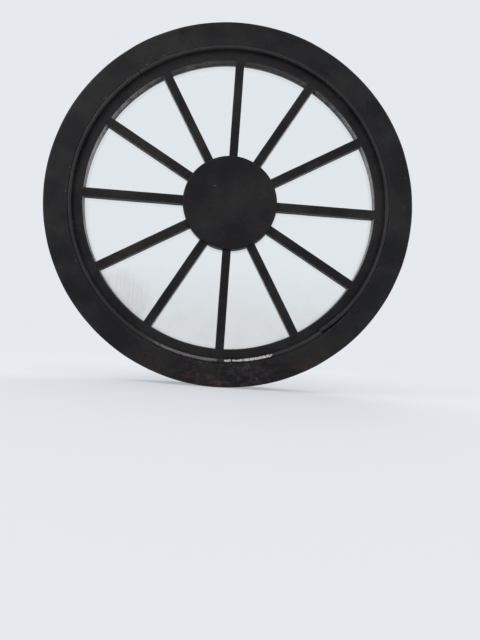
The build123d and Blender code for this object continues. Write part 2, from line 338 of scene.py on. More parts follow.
# The reveals' bleached paint, bleached patches outdoors and a pale film, with a faint painted
# highlight along every arris.
bleach_and_painted_light = total(
    (given["Reveal"], maths("MAXIMUM", bleach_less_underside_shade, 0.14)),
    (outdoors, times(patches, 0.115)), (film, 0.032), (given["Arris"], 0.018),
)
colour = mixed(tone, paint_colour, brown_paint_colour)
for share, layer in (
    (maths("MINIMUM", bleach_and_painted_light, 1.0), bleached_paint_colour),
    (times(thin, 0.40), thin_coat_colour),
    (flaked, bare_wood["Colour"]),
    (times(cracks, 0.7), crack_colour),
    (times(dusted, 0.17), dust_colour),
    (times(brown_dust, 0.34), brown_dust_colour),
    (times(lime_film, 0.10), lime_film_colour),
    (times(specks, 0.50), lime_speck_colour),
):
    colour = mixed(share, colour, layer)
sheen = total(
    0.36, (patches, 0.16), (strokes, 0.10), (given["Reveal"], 0.10), (flaked, 0.22),
    (dusted, 0.22), (specks, 0.3),
)
relief = total(
    (strokes, 0.15), (telegraphed, 0.36), (patches, 0.16), (cracks, -0.40),
    (flaked, -0.42), (times(flaked, bare_wood["Height"]), 0.20), (specks, 0.55),
)
roughness = maths("MINIMUM", sheen, 0.95)
feed(result, Colour=colour, Roughness=roughness, Height=relief)


def shaded(name, specular, height=0.0006, strength=0.7):
    """A material with one Principled shader that has a constant specular level, and a Bump node
    that feeds it, whose full height is given in metres. Its sockets are the shader's, with Colour
    for the base colour and Height for the bump's height."""
    made = bpy.data.materials.new(name)
    made.use_nodes = True
    tree = made.node_tree
    shader = tree.nodes["Principled BSDF"].inputs
    shader["Specular IOR Level"].default_value = specular
    bump = node("Bump", {"Distance": height, "Strength": strength}, tree)
    feed(shader, Normal=bump.outputs[0])
    named = {"Colour": shader["Base Color"], "Height": bump.inputs["Height"]}
    return made, tree, dict(shader.items()) | named


def mask_on(tree, name):
    """The value of a mask kept on the points of a piece."""
    return node("Attribute", tree=tree, attribute_name=name).outputs["Fac"]


def painted(name, specular, **values):
    """Old dark paint with its own values, on a piece that keeps its grain and its masks."""
    made, tree, shader = shaded(name, specular)
    given = {
        "Grain": node("Attribute", tree=tree, attribute_name="grain").outputs["Vector"],
        "Arris": mask_on(tree, "arris"),
        "Reveal": mask_on(tree, "reveal"),
    }
    coat = placed(old_paint, given | values)
    feed(shader, **dict(coat.items()))
    return made, tree, shader, coat


# Frame: six curved lengths of softwood, an L section with a splayed lip on the outdoor side,
# sawn to the circle, planed, and slotted at both ends. Every arris is eased by hand, and the
# surfaces are a little uneven. The brads of the stop bead go into the inner face.
frame_corners = [
    (0.3830, -0.0435), (0.4400, -0.0435), (0.4400, 0.0465), (0.3890, 0.0465), (0.3670, 0.0145),
    (0.3670, 0.0065), (0.3830, 0.0065), (0.3830, -0.0386), (0.3830, -0.0404),
]
frame_easing = [0.0012, 0.0022, 0.0016, 0.0018, 0.0010, 0.0005, 0, 0, 0]
frame_run = 0.0045
frame_middle_radius = 0.41
frame_unevenness = 0.0004
frame_wave = 0.11
frame_wave_seed, frame_grain_seed = 11, 100
frame_slot = (0.3994, 0.4236, -0.0031, 0.0061)
frame_slot_depth = 0.021
length_turn = 60.0
frame_joints = [45.0 + length_turn * k for k in range(6)]
joint_easing = 0.0005
row_turn = 1.0
row_clearance = 0.4
arris_steps = 4
arris_reach = 0.0022
merge_distance = 2e-6
least_edge = 1e-6
brad_mouth = ((0.3830, -0.0386), (0.3830, -0.0404))
brad_half = 0.0006
brad_floor = 0.397
brads = np.concatenate([np.linspace(-23.0, 121.0, 7), np.linspace(137.0, 301.0, 7)])


def moulding(corners, easing, run):
    """Closed section through its corners, anticlockwise. An eased corner c is the curve
    (1-t)^2 a + 2t(1-t) c + t^2 b between the points a and b at the easing from it, and a side
    longer than run is divided evenly. Also gives the outward step of each point, which moves
    every side out by one, and how near the point is to an eased arris. The step at a corner is
    the sum of its two sides' normals over one plus their product, and runs evenly between."""
    corners = np.array(corners)
    sides = np.roll(corners, -1, 0) - corners
    normals = np.stack([sides[:, 1], -sides[:, 0]], 1) / np.linalg.norm(sides, axis=1)[:, None]
    before = np.roll(normals, 1, 0)
    steps_out = (before + normals) / (1 + (before * normals).sum(1))[:, None]
    points, arrises = [], []
    for k, ease in enumerate(easing):
        corner, step = corners[k], steps_out[k]
        if not ease:
            points.append([[*corner, *step]])
            continue
        ends = [corners[k - 1] - corner, corners[(k + 1) % len(corners)] - corner]
        a, b = (corner + ease * end / np.linalg.norm(end) for end in ends)
        t = np.linspace(0, 1, arris_steps + 1)[:, None]
        arc = (1 - t) ** 2 * a + 2 * t * (1 - t) * corner + t**2 * b
        points.append(np.hstack([arc, np.broadcast_to(step, arc.shape)]))
        arrises.append(corner)
    line = np.concatenate(points)
    stretches = []
    for start, end in zip(line, np.roll(line, -1, 0)):
        count = max(1, int(np.linalg.norm((end - start)[:2]) / run))
        stretches.append(start + (end - start) * np.arange(count)[:, None] / count)
    line = np.concatenate(stretches)
    reach = np.linalg.norm(line[:, None, :2] - np.array(arrises)[None], axis=2).min(1)
    return line[:, :2], line[:, 2:], np.exp(-((reach / arris_reach) ** 2))


def stations(start, end, step, marks=(), clear=0.0):
    """Even stations from start to end with marks put in, and no even one too near a mark."""
    even = np.linspace(start, end, max(2, round((end - start) / step) + 1))
    marks = np.array(marks, float)
    if len(marks):
        near = np.abs(even[:, None] - marks).min(1) < clear
        near[[0, -1]] = False
        even = even[~near]
    return np.union1d(even, marks)


def length_rows(start, radius, marks):
    """Angles of the rows of a curved length: both ends, a row as far from each as the easing of
    the joint is at the radius, and even rows between them with the marks put in."""
    end, eased = start + length_turn, np.degrees(joint_easing / radius)
    inner = stations(start + eased, end - eased, row_turn, marks, row_clearance)
    return np.concatenate([[start], inner, [end]])


def between(angles, start, end):
    """The angles that lie between start and end, whole turns more or less."""
    everywhere = [angle + turn for angle in angles for turn in (-360, 0, 360)]
    return [angle for angle in everywhere if start < angle < end]


def beside(angles, turn):
    """The angles a turn before and a turn after each angle."""
    return [angle + side * turn for angle in angles for side in (-1, 1)]


def pocket(angle, turn, angles, columns, floor_at):
    """A hole from the row a turn before an angle to the row a turn after it."""
    rows = (int(np.abs(angles - mark).argmin()) for mark in beside([angle], turn))
    return (*rows, *columns, away(angle), floor_at)


def nearest(section, spot):
    """Column of a section that lies at a spot."""
    return int(np.linalg.norm(section - np.array(spot), axis=1).argmin())


def away(angle):
    """Unit direction out along the radius at an angle in degrees."""
    return np.array([cos(radians(angle)), 0, sin(radians(angle))])


def turned(radius, depth, angle):
    """Point at a radius, a depth and an angle in degrees: x = r cos a, y = d, z = r sin a."""
    angle = np.radians(angle)
    return np.stack(np.broadcast_arrays(radius * np.cos(angle), depth, radius * np.sin(angle)), -1)


def unevenness(points, spacing, seed):
    """Smooth value from 0 to 1 at each point: a half and a ninth of the sum of twelve sine waves
    of random direction, about spacing from crest to crest."""
    draw = np.random.default_rng(seed)
    waves = draw.normal(size=(12, 3))
    lengths = np.linalg.norm(waves, axis=1)[:, None]
    waves *= (2 * pi / spacing) * draw.uniform(0.6, 1.5, (12, 1)) / lengths
    turns = draw.uniform(0, 2 * pi, 12)
    return np.clip(0.5 + np.sin(points @ waves.T + turns).sum(-1) / 9, 0, 1)


def worn_down(section, normals, angles, depth, spacing, seed):
    """Section at each angle, set in unevenly by up to a depth, and at both ends by the easing of
    the joint too: each point less its inset times its outward step."""
    inset = depth * unevenness(turned(*section.T, angles[:, None]), spacing, seed)
    inset[[0, -1]] += joint_easing
    return section - inset[..., None] * normals


def shell(grid, ring_rows=False, ring_columns=True, holes=()):
    """Skin over a grid of points, as its rows and columns, its points and its faces: quads between
    neighbours. A hole (first and last row, first and last column, direction, floor) is a pocket,
    its mouth carried along direction to the floor."""
    rows, columns = grid.shape[:2]
    place = np.arange(rows * columns).reshape(rows, columns)
    here = place if ring_rows else place[:-1]
    there = np.roll(place, -1, 0) if ring_rows else place[1:]
    quads = np.stack([here, np.roll(here, -1, 1), np.roll(there, -1, 1), there], -1)
    if not ring_columns:
        quads = quads[:, :-1]
    kept = np.ones(quads.shape[:2], bool)
    points, faces, count = [grid.reshape(-1, 3)], [], rows * columns
    for first_row, last_row, first, last, direction, floor_at in holes:
        kept[first_row:last_row, first:last] = False
        mouth = np.concatenate([
            place[first_row, first:last],
            place[first_row:last_row, last],
            place[last_row, last:first:-1],
            place[last_row:first_row:-1, first],
        ])
        lip = points[0][mouth]
        points.append(lip + (floor_at - lip @ direction)[:, None] * direction)
        bottom = count + np.arange(len(mouth))
        count += len(mouth)
        walls = np.stack([mouth, np.roll(mouth, -1), np.roll(bottom, -1), bottom], 1)
        faces += walls.tolist() + [bottom.tolist()]
    return (rows, columns), np.concatenate(points), faces + quads[kept].tolist()


def slotted_end(points, faces, edge, flat, slot, depth, angle, inward):
    """Flat end over a loop of points, with a slot: its four corners carried square to the end."""
    low, high, front, back = slot
    mouth = np.array([(low, front), (high, front), (high, back), (low, back)])
    lip = turned(*mouth.T, angle)
    along = inward * np.array([-sin(radians(angle)), 0, cos(radians(angle))])
    corners = len(points) + np.arange(4)
    points = np.concatenate([points, lip, lip + depth * along])
    loops = [[(*spot, 0) for spot in line] for line in (flat, mouth)]
    places = np.concatenate([edge, corners])
    faces += [places[list(three)].tolist() for three in tessellate_polygon(loops)]
    following = np.roll(corners, -1)
    faces += np.stack([corners, following, following + 4, corners + 4], 1).tolist()
    faces.append((corners + 4).tolist())
    return points, faces


def curved_length(worn, turns, angles, holes, slot, slot_depth):
    """Skin of a curved length from its worn section and the turn of each of its points, with its
    pockets and a slotted end on its first and last row."""
    shape, points, faces = shell(turned(worn[..., 0], worn[..., 1], turns), holes=holes)
    for row, inward in ((0, 1), (shape[0] - 1, -1)):
        edge, angle = row * shape[1] + np.arange(shape[1]), angles[row]
        points, faces = slotted_end(points, faces, edge, worn[row], slot, slot_depth, angle, inward)
    return shape, points, faces


def grain_round(points, middle):
    """Place in the straight board that a curved length is sawn from: along it, across it, and in
    depth, where the board lies square to the radius at the middle of the length."""
    turn = radians(middle)
    along = -points[:, 0] * sin(turn) + points[:, 2] * cos(turn)
    across = points[:, 0] * cos(turn) + points[:, 2] * sin(turn)
    return np.stack([along, across, points[:, 1]], 1)


def new_piece(name, skin, material, replaced, grain, seed, masks, crease=38):
    """A closed piece from its skin, with its place in the grain kept on the points and its masks
    on those of its rows and columns, and with its edges sharp where two faces meet at more than
    the crease angle."""
    shape, points, faces = skin
    mesh = bpy.data.meshes.new(name)
    mesh.from_pydata(points.tolist(), [], faces)
    shift = np.random.default_rng(seed).uniform(-3, 3, 3)
    kept = mesh.attributes.new("grain", "FLOAT_VECTOR", "POINT")
    kept.data.foreach_set("vector", (grain + shift).astype(np.float32).ravel())
    for mask, values in masks.items():
        whole = np.zeros(len(points), np.float32)
        whole[: shape[0] * shape[1]] = np.broadcast_to(values, shape).ravel()
        mesh.attributes.new(mask, "FLOAT", "POINT").data.foreach_set("value", whole)
    shaped = bmesh.new()
    shaped.from_mesh(mesh)
    bmesh.ops.remove_doubles(shaped, verts=shaped.verts, dist=merge_distance)
    bmesh.ops.dissolve_degenerate(shaped, edges=shaped.edges, dist=least_edge)
    unused = [point for point in shaped.verts if not point.link_faces]
    bmesh.ops.delete(shaped, geom=unused, context="VERTS")
    bmesh.ops.recalc_face_normals(shaped, faces=shaped.faces)
    shaped.to_mesh(mesh)
    shaped.free()
    mesh.shade_smooth()
    mesh.set_sharp_from_angle(angle=radians(crease))
    mesh.materials.append(material)
    piece = bpy.data.objects.new(name, mesh)
    scene.collection.objects.link(piece)
    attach(piece, "root")
    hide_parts(*replaced)


frame_paint = painted("frame_paint", specular=0.14, Spatter=1.0, Wear=0.45)[0]
frame_section, frame_normals, frame_arris = moulding(frame_corners, frame_easing, frame_run)
brad_columns = sorted(nearest(frame_section, spot) for spot in brad_mouth)
brad_turn = np.degrees(brad_half / brad_mouth[0][0])
for number, start in enumerate(frame_joints):
    brads_here = between(brads, start, start + length_turn)
    angles = length_rows(start, frame_middle_radius, beside(brads_here, brad_turn))
    seed = frame_wave_seed + number
    worn = worn_down(frame_section, frame_normals, angles, frame_unevenness, frame_wave, seed)
    holes = [pocket(angle, brad_turn, angles, brad_columns, brad_floor) for angle in brads_here]
    skin = curved_length(worn, angles[:, None], angles, holes, frame_slot, frame_slot_depth)
    new_piece(
        f"frame_length_{number + 1}", skin, frame_paint,
        [f"jamb_segment_{number + 1}"], grain_round(skin[1], start + length_turn / 2),
        frame_grain_seed + number, {"arris": frame_arris, "reveal": 0.0},
    )

# Sash rim: six curved lengths, rebated behind for the glass, with a rounded arris round the
# opening. Each has a slot at both ends, a mortise for each of its two bars and a slit for each
# of its four sprigs.
rim_corners = [
    (0.3500, -0.0355), (0.3824, -0.0355), (0.3824, 0.0065), (0.3580, 0.0065), (0.3580, -0.00135),
    (0.3580, -0.0093), (0.3580, -0.0105), (0.3580, -0.0145), (0.3500, -0.0145), (0.3500, -0.02965),
]
rim_easing = [0.0022, 0.0009, 0.0008, 0.0007, 0, 0, 0, 0, 0, 0]
rim_joints = [15.0 + length_turn * k for k in range(6)]
rim_run = 0.004
rim_radius = 0.350
rim_middle_radius = 0.366
rim_unevenness = 0.0003
rim_wave = 0.09
rim_wave_seed, rim_grain_seed = 31, 200
rim_slot = (0.3631, 0.3773, -0.0191, -0.0099)
rim_slot_depth = 0.019
bar_angles = [30.0 * k for k in range(12)]
mortise_half = 0.00365
mortise_least_radius = 0.1
rim_mortise_mouth = ((0.3580, -0.00135), (0.3500, -0.02965))
rim_mortise_floor = 0.373
pane_angles = [30.0 * k + 15.0 for k in range(12)]
sprig_spread = 8.0
sprig_angles = beside(pane_angles, sprig_spread)
sprig_half = 0.0010
sprig_mouth = ((0.3580, -0.0093), (0.3580, -0.0105))
sprig_floor = 0.364
glass_bed = -0.0145
daylit_depth = 0.0195
# Painted shade on the reveals in the corner by the glass: the share of the mask left there, and how
# far it reaches.
shaded_corner_level = 0.55
shaded_corner_reach = 0.005
face_margin = 0.0005
depth_margin = 0.0001


def daylit(section):
    """One on the faces between the rounded indoor arris and the glass, falling in the last few
    millimetres before the glass as painted shade in the corner by the glass, and nought elsewhere."""
    before_glass = glass_bed - section[:, 1]
    light = shaded_corner_level + (1 - shaded_corner_level) * np.clip(before_glass / shaded_corner_reach, 0, 1)
    return np.where((before_glass > -depth_margin) & (before_glass < daylit_depth), light, 0)


def mortise(angle, turn, angles, worn, turns, columns, floor_at):
    """The pocket for a bar. The rows beside it are turned until its cheeks are parallel, which
    is by the angle whose sine is half its width over the radius."""
    hole = pocket(angle, turn, angles, columns, floor_at)
    for row, side in zip(hole, (-1, 1)):
        radius = np.maximum(worn[row, :, 0], mortise_least_radius)
        turns[row] = angle + side * np.degrees(np.arcsin(mortise_half / radius))
    return hole


sash_paint = painted("sash_paint", specular=0.14, Spatter=0.25, Wear=0.4)[0]
rim_section, rim_normals, rim_arris = moulding(rim_corners, rim_easing, rim_run)
rim_columns = sorted(nearest(rim_section, spot) for spot in rim_mortise_mouth)
sprig_columns = sorted(nearest(rim_section, spot) for spot in sprig_mouth)
rim_reveal = daylit(rim_section) * (rim_section[:, 0] < rim_radius + face_margin)
bar_turn = np.degrees(mortise_half / rim_radius)
sprig_turn = np.degrees(sprig_half / sprig_mouth[0][0])
for number, start in enumerate(rim_joints):
    bars_here = between(bar_angles, start, start + length_turn)
    sprigs_here = between(sprig_angles, start, start + length_turn)
    marks = beside(bars_here, bar_turn) + beside(sprigs_here, sprig_turn)
    angles = length_rows(start, rim_middle_radius, marks)
    seed = rim_wave_seed + number
    worn = worn_down(rim_section, rim_normals, angles, rim_unevenness, rim_wave, seed)
    turns = np.repeat(angles[:, None], len(rim_section), 1)
    holes = [
        mortise(angle, bar_turn, angles, worn, turns, rim_columns, rim_mortise_floor)
        for angle in bars_here
    ]
    holes += [
        pocket(angle, sprig_turn, angles, sprig_columns, sprig_floor) for angle in sprigs_here
    ]
    skin = curved_length(worn, turns, angles, holes, rim_slot, rim_slot_depth)
    new_piece(
        f"rim_length_{number + 1}", skin, sash_paint,
        [f"rim_segment_{number + 1}"], grain_round(skin[1], start + length_turn / 2),
        rim_grain_seed + number, {"arris": rim_arris, "reveal": rim_reveal},
    )

# Hub: one turned block that stands proud of the bars indoors, rebated behind for the panes,
# with a mortise for each of the twelve bars. Its face is plain, with a rounded edge.
hub_corners = [
    (0.0, -0.0425), (0.1130, -0.0425), (0.1130, -0.02965), (0.1130, -0.0145), (0.1050, -0.0145),
    (0.1050, -0.00135), (0.1050, 0.0065), (0.0, 0.0065),
]
hub_easing = [0, 0.0034, 0, 0, 0, 0, 0.0009, 0]
hub_run = 0.004
hub_radius = 0.113
hub_unevenness = 0.0003
hub_wave = 0.07
hub_wave_seed, hub_grain_seed = 51, 300
hub_mortise_mouth = ((0.1130, -0.02965), (0.1050, -0.00135))
hub_mortise_floor = 0.090
hub_first_row, hub_last_row = 15.0, 374.0
hub_row_turn = 2.5
hub_row_clearance = 0.9
lathe_pitch = 0.0018


def from_axis(place):
    """Distance of a place from the axis of the wheel: the length of its x and z together."""
    flat = vector_maths("MULTIPLY", place, (1, 0, 1))[0]
    return vector_maths("LENGTH", flat)["Value"]


hub_paint, tree, shader, coat = painted("hub_paint", specular=0.14, Wear=0.0)
lathe_turns = times(from_axis(object_place(tree)), 2 * pi / lathe_pitch)
lathe_marks = maths("SINE", lathe_turns)
feed(shader, Height=total(coat["Height"], (lathe_marks, 0.030)))

hub_parts = moulding(hub_corners, hub_easing, hub_run)
hub_end = nearest(hub_parts[0], hub_corners[-1]) + 1
hub_section, hub_normals, hub_arris = (part[:hub_end] for part in hub_parts)
hub_columns = sorted(nearest(hub_section, spot) for spot in hub_mortise_mouth)
hub_bars = between(bar_angles, hub_first_row, hub_first_row + 360)
hub_turn = np.degrees(mortise_half / hub_radius)
marks = beside(hub_bars, hub_turn)
angles = stations(hub_first_row, hub_last_row, hub_row_turn, marks, hub_row_clearance)
flush = turned(*hub_section.T, angles[:, None])
inset = hub_unevenness * unevenness(flush, hub_wave, hub_wave_seed)
hub_normals[[0, -1]] = ((0, -1), (0, 1))
inset[:, [0, -1]] = inset[0, [0, -1]]
worn = hub_section - inset[..., None] * hub_normals
turns = np.repeat(angles[:, None], len(hub_section), 1)
holes = [
    mortise(angle, hub_turn, angles, worn, turns, hub_columns, hub_mortise_floor)
    for angle in hub_bars
]
grid = turned(worn[..., 0], worn[..., 1], turns)
skin = shell(grid, ring_rows=True, ring_columns=False, holes=holes)
hub_reveal = daylit(hub_section) * (hub_section[:, 0] > hub_radius - face_margin)
new_piece(
    "turned_hub", skin, hub_paint, ["hub"], skin[1][:, [0, 2, 1]],
    hub_grain_seed, {"arris": hub_arris, "reveal": hub_reveal},
)

# Bars: twelve straight bars of T section, the wide side indoors with two rounded arrises and
# the thin web between the panes. The shoulders are scribed to the hub and the rim, and a stub
# tenon at each end goes into them.
bar_corners = [
    (-0.0105, -0.0355), (0.0105, -0.0355), (0.0105, -0.0145), (0.0035, -0.0145),
    (0.0035, 0.0065), (-0.0035, 0.0065), (-0.0035, -0.0145), (-0.0105, -0.0145),
]
bar_easing = [0.0022, 0.0022, 0, 0, 0.0005, 0.0005, 0, 0]
bar_run = 0.0035
bar_rows = 42
bar_shoulder_share = 0.0015
bar_unevenness = 0.00025
bar_wave = 0.06
bar_wave_seed, bar_grain_seed = 61, 400
shoulder_easing = 0.0003
# Painted shade on the reveals of the bars near their shoulders: how much, and how far it reaches.
shoulder_shade = 0.5
shoulder_shade_reach = 0.006
flat_web_end = 0.006
web_box = ((-0.0035, 0.0035), (-0.0295, 0.0065))
tenon_box = ((-0.0035, 0.0035), (-0.0295, -0.0015))
tenon_middle = (0.0, -0.0155)
bar_stops = {"hub": 0.113, "rim": 0.350}
web_stops = {"hub": 0.105, "rim": 0.358}
tenon_stops = {"hub": 0.091, "rim": 0.372}
depthwise = np.array([0, 1, 0])


def scribed(section, radius):
    """Distance along a bar at which each point of its section meets a circle: the root of
    radius squared less offset squared."""
    return np.sqrt(radius**2 - section[:, 0] ** 2)


def laid(section, distance):
    """Section points put at distances along a bar, as (distance, offset, depth)."""
    return np.column_stack([np.broadcast_to(distance, len(section)), section])


def bar_end(end):
    """The rings of a bar's end, from its shoulder out: the foot of the web, the end of the web,
    the foot of the tenon and its end, and then a point that closes it."""
    return [
        laid(web_section, scribed(web_section, bar_stops[end])),
        laid(web_section, scribed(web_section, web_stops[end])),
        laid(tenon_section, scribed(tenon_section, web_stops[end])),
        laid(tenon_section, tenon_stops[end]),
        np.tile((tenon_stops[end], *tenon_middle), (len(bar_section), 1)),
    ]


bar_section, bar_normals, bar_arris = moulding(bar_corners, bar_easing, bar_run)
web_section = np.column_stack([np.clip(bar_section[:, k], *web_box[k]) for k in (0, 1)])
tenon_section = np.column_stack([np.clip(web_section[:, k], *tenon_box[k]) for k in (0, 1)])
bar_reveal = daylit(bar_section)
web_sides = (bar_section[:, 1] > glass_bed) & (bar_section[:, 1] < flat_web_end)
hub_line, rim_line = (scribed(bar_section, bar_stops[end]) for end in ("hub", "rim"))
inner_shares = np.linspace(bar_shoulder_share, 1 - bar_shoulder_share, bar_rows)
shares = np.concatenate([[0], inner_shares, [1]])[:, None]
bar_reach = hub_line + shares * (rim_line - hub_line)
straight = np.stack(np.broadcast_arrays(bar_reach, *bar_section.T), -1)
for number, angle in enumerate(bar_angles):
    inset = bar_unevenness * unevenness(straight, bar_wave, bar_wave_seed + number)
    inset[[0, -1]] += shoulder_easing
    inset[:, web_sides] = 0.0
    body = straight.copy()
    body[..., 1:] -= inset[..., None] * bar_normals
    local = np.array(bar_end("hub")[::-1] + list(body) + bar_end("rim"))
    along, offset, depth = local[..., :1], local[..., 1:2], local[..., 2:]
    grid = along * away(angle) + offset * away(angle + 90) + depth * depthwise
    # Painted shade: the bars' reveals are darker near the shoulders, where they meet the hub and
    # the rim.
    near_end = np.minimum(along - bar_stops["hub"], bar_stops["rim"] - along)[..., 0].clip(0)
    clear_of_shoulder_shade = 1 - shoulder_shade * np.exp(-near_end / shoulder_shade_reach)
    new_piece(
        f"glazing_bar_{number + 1:02d}", shell(grid), sash_paint,
        [f"bar_{number + 1:02d}"], local.reshape(-1, 3), bar_grain_seed + number,
        {"arris": bar_arris, "reveal": bar_reveal * clear_of_shoulder_shade},
    )


# Loose tongues in the joints of the frame and of the rim: bare softwood, sawn and planed, which
# never was painted.
def dress(material, *names):
    """Gives a material to CAD nodes whose shapes stay as they are."""
    for name in names:
        nodes[name].data.materials.clear()
        nodes[name].data.materials.append(material)


bare_timber, tree, shader = shaded("bare_timber", specular=0.4, height=0.0003, strength=0.5)
colour, relief = placed(softwood, {"Grain": object_place(tree)})
roughness = total(0.55, (relief, 0.25))
feed(shader, Colour=colour, Roughness=roughness, Height=relief)
dress(bare_timber, "jamb_tongues", "rim_tongues")

# Panes: twelve flat sectors of thin drawn glass, a little wavy, cut to lie in the rebates. They
# are dusty in the lower half of the wheel and grimy along the putty, and dried rain runs veil
# one of them.
clean_glass_colour = (0.955, 0.975, 0.97, 1)
dirty_glass_colour = (0.62, 0.60, 0.57, 1)
veil_place = (-0.256, -0.0125, -0.250)
pane_glass, tree, shader = shaded("pane_glass", specular=0.5, height=0.0012, strength=0.10)
place = object_place(tree)
reach = from_axis(place)
waves = noise(place, (0.10, 0.10, 0.16), 1.0, 0.4)
smudges = noise(place, 0.035, 5.0, 0.6)
dust_grains = noise(place, 0.0016, 3.0, 0.7)
low_down = ramp(parts(place)[2], -0.10, -0.34)
low_haze = times(low_down, total(0.5, (smudges, 0.8)))
by_rim = ramp(total(reach, (smudges, 0.014)), 0.346, 0.362)
by_hub = ramp(total(reach, (smudges, -0.012)), 0.116, 0.106)
grime = maths("MAXIMUM", by_rim, by_hub)
from_veil = vector_maths("DISTANCE", place, veil_place)["Value"]
veil_edge = ramp(total(from_veil, (smudges, 0.07)), 0.125, 0.092)
rain_runs = ramp(noise(place, (0.0045, 0.05, 0.075), 4.0, 0.6), 0.32, 0.68)
veil = times(veil_edge, total(0.45, (rain_runs, 0.55)))
dirt = total((low_haze, 0.40), (grime, 0.35), (veil, 0.34), (dust_grains, 0.05), clamp=True)
tint = mixed(dirt, clean_glass_colour, dirty_glass_colour)
roughness = total(0.01, (dirt, 0.42))
relief = total(waves, (dust_grains, times(dirt, 0.02)))
feed(shader, Colour=tint, Roughness=roughness, Height=relief)
shader["Transmission Weight"].default_value = 1.0
shader["IOR"].default_value = 1.52
dress(pane_glass, *(f"pane_{number:02d}" for number in range(1, 13)))

# Sprigs: headless wedges of cut steel, two to a pane, driven into the rim so that they lie on
# the glass under the putty. They are dull, and browned with rust in patches.
steel_colour = (0.30, 0.29, 0.28, 1)
rust_colour = (0.10, 0.045, 0.022, 1)
cut_steel, tree, shader = shaded("cut_steel", specular=0.5, height=0.0002, strength=0.6)
scale = noise(object_place(tree), 0.0016, 4.0, 0.6)
rust = ramp(scale, 0.40, 0.56)
colour = mixed(rust, steel_colour, rust_colour)
roughness = total(0.42, (rust, 0.43))
bright = maths("SUBTRACT", 1.0, rust)
feed(shader, Colour=colour, Roughness=roughness, Metallic=bright, Height=scale)
dress(cut_steel, "glazing_sprigs")

# Putty: one fillet round each pane on the outdoor side, pressed against the timber and drawn
# off with a knife to a slope that stops just short of the sight line. It has shrunk a little,
# and its slope and its edge on the glass are uneven.
putty_levels = {
    "timber_foot": (0.105, 0.358, 0.0035, -0.0105),
    "glass_edge": (0.112, 0.351, 0.0095, -0.0105),
    "lip": (0.1065, 0.3565, 0.0050, 0.0055),
    "timber_top": (0.105, 0.358, 0.0035, 0.0055),
}
putty_slope_steps = 7
putty_hollow = 0.0009
putty_ripple = 0.0006
putty_ripple_start = 0.08
putty_wave = 0.018
putty_wave_seed, putty_grain_seed = 81, 500
putty_side_points = (70, 44, 70, 14)
chalky_colours = ((0.17, 0.160, 0.145, 1), (0.29, 0.275, 0.25, 1))
faded_colours = ((0.052, 0.048, 0.046, 1), (0.020, 0.019, 0.020, 1))
putty_crack_colour = (0.05, 0.045, 0.04, 1)


def sector(inner, outer, side, depth):
    """Closed line round a space between two bars: two straight sides kept a distance from the
    bars' middle lines, and two arcs, with as many points on each side at every size."""
    half = pi / 12
    turn_in, turn_out = half - np.arcsin(side / inner), half - np.arcsin(side / outer)
    spots = ((inner, -turn_in), (outer, -turn_out), (outer, turn_out), (inner, turn_in))
    corners = np.array([(radius * np.cos(turn), radius * np.sin(turn)) for radius, turn in spots])
    t = [np.arange(count)[:, None] / count for count in putty_side_points]
    arc_out, arc_in = (2 * t[1] - 1) * turn_out, (1 - 2 * t[3]) * turn_in
    line = np.concatenate([
        corners[0] + t[0] * (corners[1] - corners[0]),
        outer * np.hstack([np.cos(arc_out), np.sin(arc_out)]),
        corners[2] + t[2] * (corners[3] - corners[2]),
        inner * np.hstack([np.cos(arc_in), np.sin(arc_in)]),
    ])
    return np.column_stack([line[:, 0], np.full(len(line), depth), line[:, 1]])


putty_material, tree, shader = shaded("putty", specular=0.30, height=0.0007, strength=0.8)
place = object_place(tree)
knife_marks = noise(place, 0.006, 4.0, 0.6)
patches = noise(place, 0.030, 4.0, 0.6)
crack_edges = cells(place, 0.020, "DISTANCE_TO_EDGE")
cracks = maths("SUBTRACT", 1.0, ramp(crack_edges, 0.0, 0.030))
grit = noise(place, 0.0007, 2.0, 0.6)
paint_left = ramp(total(patches, (knife_marks, 0.35), (cracks, -0.10)), 0.44, 0.48)
chalky = mixed(knife_marks, *chalky_colours)
faded = mixed(ramp(patches, 0.35, 0.65), *faded_colours)
colour = mixed(paint_left, chalky, faded)
colour = mixed(times(cracks, 0.8), colour, putty_crack_colour)
roughness = total(0.85, (paint_left, -0.30), (grit, 0.1))
relief = total((knife_marks, 0.5), (grit, 0.12), (paint_left, 0.25), (cracks, -0.6))
feed(shader, Colour=colour, Roughness=roughness, Height=relief)

foot, edge_line, lip_line, top_line = (sector(*sizes) for sizes in putty_levels.values())
t = np.linspace(0, 1, putty_slope_steps)[:, None, None]
slope = edge_line + t * (lip_line - edge_line)
toward_corner = foot - slope[putty_slope_steps // 2]
toward_corner /= np.linalg.norm(toward_corner, axis=1)[:, None]
rippled = putty_ripple * np.sin(pi * np.clip(t + putty_ripple_start, 0, 1))
for number, angle in enumerate(pane_angles):
    wave = unevenness(slope, putty_wave, putty_wave_seed + number)[..., None] - 0.5
    bend = putty_hollow * np.sin(pi * t) + rippled * wave
    local = np.concatenate([foot[None], slope + bend * toward_corner, top_line[None]])
    local = local.transpose(1, 0, 2)
    along, depth, offset = local[..., :1], local[..., 1:2], local[..., 2:]
    grid = along * away(angle) + depth * depthwise + offset * away(angle + 90)
    new_piece(
        f"putty_fillet_{number + 1:02d}", shell(grid, ring_rows=True), putty_material,
        [f"putty_{number + 1:02d}"], local.reshape(-1, 3), putty_grain_seed + number, {}, crease=50,
    )

